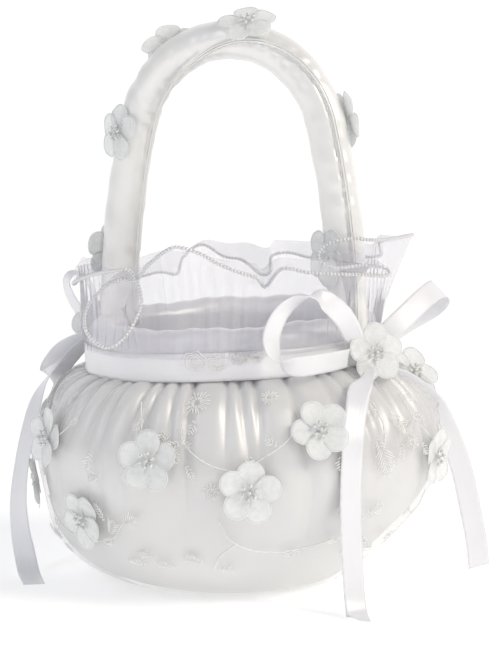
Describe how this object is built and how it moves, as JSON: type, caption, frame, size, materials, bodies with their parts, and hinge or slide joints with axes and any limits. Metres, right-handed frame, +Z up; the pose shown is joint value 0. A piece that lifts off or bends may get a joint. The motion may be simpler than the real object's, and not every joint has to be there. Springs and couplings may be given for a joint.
{
  "type": "flower girl basket",
  "caption": "Round padded satin basket with an arched padded handle, sheer ruffle, ribbon bows and sheer flowers with pearl centres.",
  "frame": {"origin": "centre of the flat base, on the surface it stands on", "axes": "+Z up, handle arch in the XZ plane, one bow on each side along X"},
  "size_m": [0.2733, 0.2442, 0.3375],
  "materials": {
    "card": "grey-brown card",
    "pressed_board": "pressed paper board",
    "wadding": "polyester wadding",
    "satin": "ivory-white polyester satin",
    "lining_satin": "white polyester satin",
    "organza": "sheer white organza",
    "petal_organza": "layered sheer organza, heat-cut edge",
    "ribbon": "white satin ribbon",
    "pearl": "pearl coated bead",
    "pearl_bead": "small pearl bead cord",
    "wire": "plain drawn steel"
  },
  "bodies": {
    "basket": {"base_board": "card", "basket_form": "pressed_board", "wadding": "wadding", "satin_cover": "satin", "organza_overlay": "organza", "satin_lining": "lining_satin", "floor_pad": "lining_satin", "rim_wire": "wire", "rim_ribbon": "ribbon", "ruffle": "organza", "ruffle_bead_edge": "pearl_bead", "handle_core": "wire", "handle_padding": "wadding", "handle_cover": "satin", "handle_piping": "satin", "handle_socket_right": "card", "handle_socket_left": "card", "body_pearls": "pearl", "handle_pearls": "pearl", "bow_right_knot": "ribbon", "bow_right_loop_front": "ribbon", "bow_right_loop_back": "ribbon", "bow_right_flower": "petal_organza", "bow_right_pearls": "pearl", "bow_left_knot": "ribbon", "bow_left_loop_front": "ribbon", "bow_left_loop_back": "ribbon", "bow_left_flower": "petal_organza", "bow_left_pearls": "pearl", "body_flower_01": "petal_organza", "body_flower_02": "petal_organza", "body_flower_03": "petal_organza", "body_flower_04": "petal_organza", "body_flower_05": "petal_organza", "body_flower_06": "petal_organza", "body_flower_07": "petal_organza", "body_flower_08": "petal_organza", "body_flower_09": "petal_organza", "body_flower_10": "petal_organza", "body_flower_11": "petal_organza", "body_flower_12": "petal_organza", "body_flower_13": "petal_organza", "body_flower_14": "petal_organza", "handle_flower_01": "petal_organza", "handle_flower_02": "petal_organza", "handle_flower_03": "petal_organza", "handle_flower_04": "petal_organza", "handle_flower_05": "petal_organza", "handle_flower_06": "petal_organza"},
    "right_tail_front": {"bow_right_tail_front": "ribbon"},
    "right_tail_back": {"bow_right_tail_back": "ribbon"},
    "left_tail_front": {"bow_left_tail_front": "ribbon"},
    "left_tail_back": {"bow_left_tail_back": "ribbon"}
  },
  "joints": [
    {"name": "right_tail_front_swing", "type": "hinge", "parent": "basket", "child": "right_tail_front", "pos_m": [0.0975, 0, 0.128], "axis": [0, -1, 0], "range_deg": [0, 40]},
    {"name": "right_tail_back_swing", "type": "hinge", "parent": "basket", "child": "right_tail_back", "pos_m": [0.0975, 0, 0.128], "axis": [0, -1, 0], "range_deg": [0, 40]},
    {"name": "left_tail_front_swing", "type": "hinge", "parent": "basket", "child": "left_tail_front", "pos_m": [-0.0975, 0, 0.128], "axis": [0, 1, 0], "range_deg": [0, 40]},
    {"name": "left_tail_back_swing", "type": "hinge", "parent": "basket", "child": "left_tail_back", "pos_m": [-0.0975, 0, 0.128], "axis": [0, 1, 0], "range_deg": [0, 40]}
  ]
}
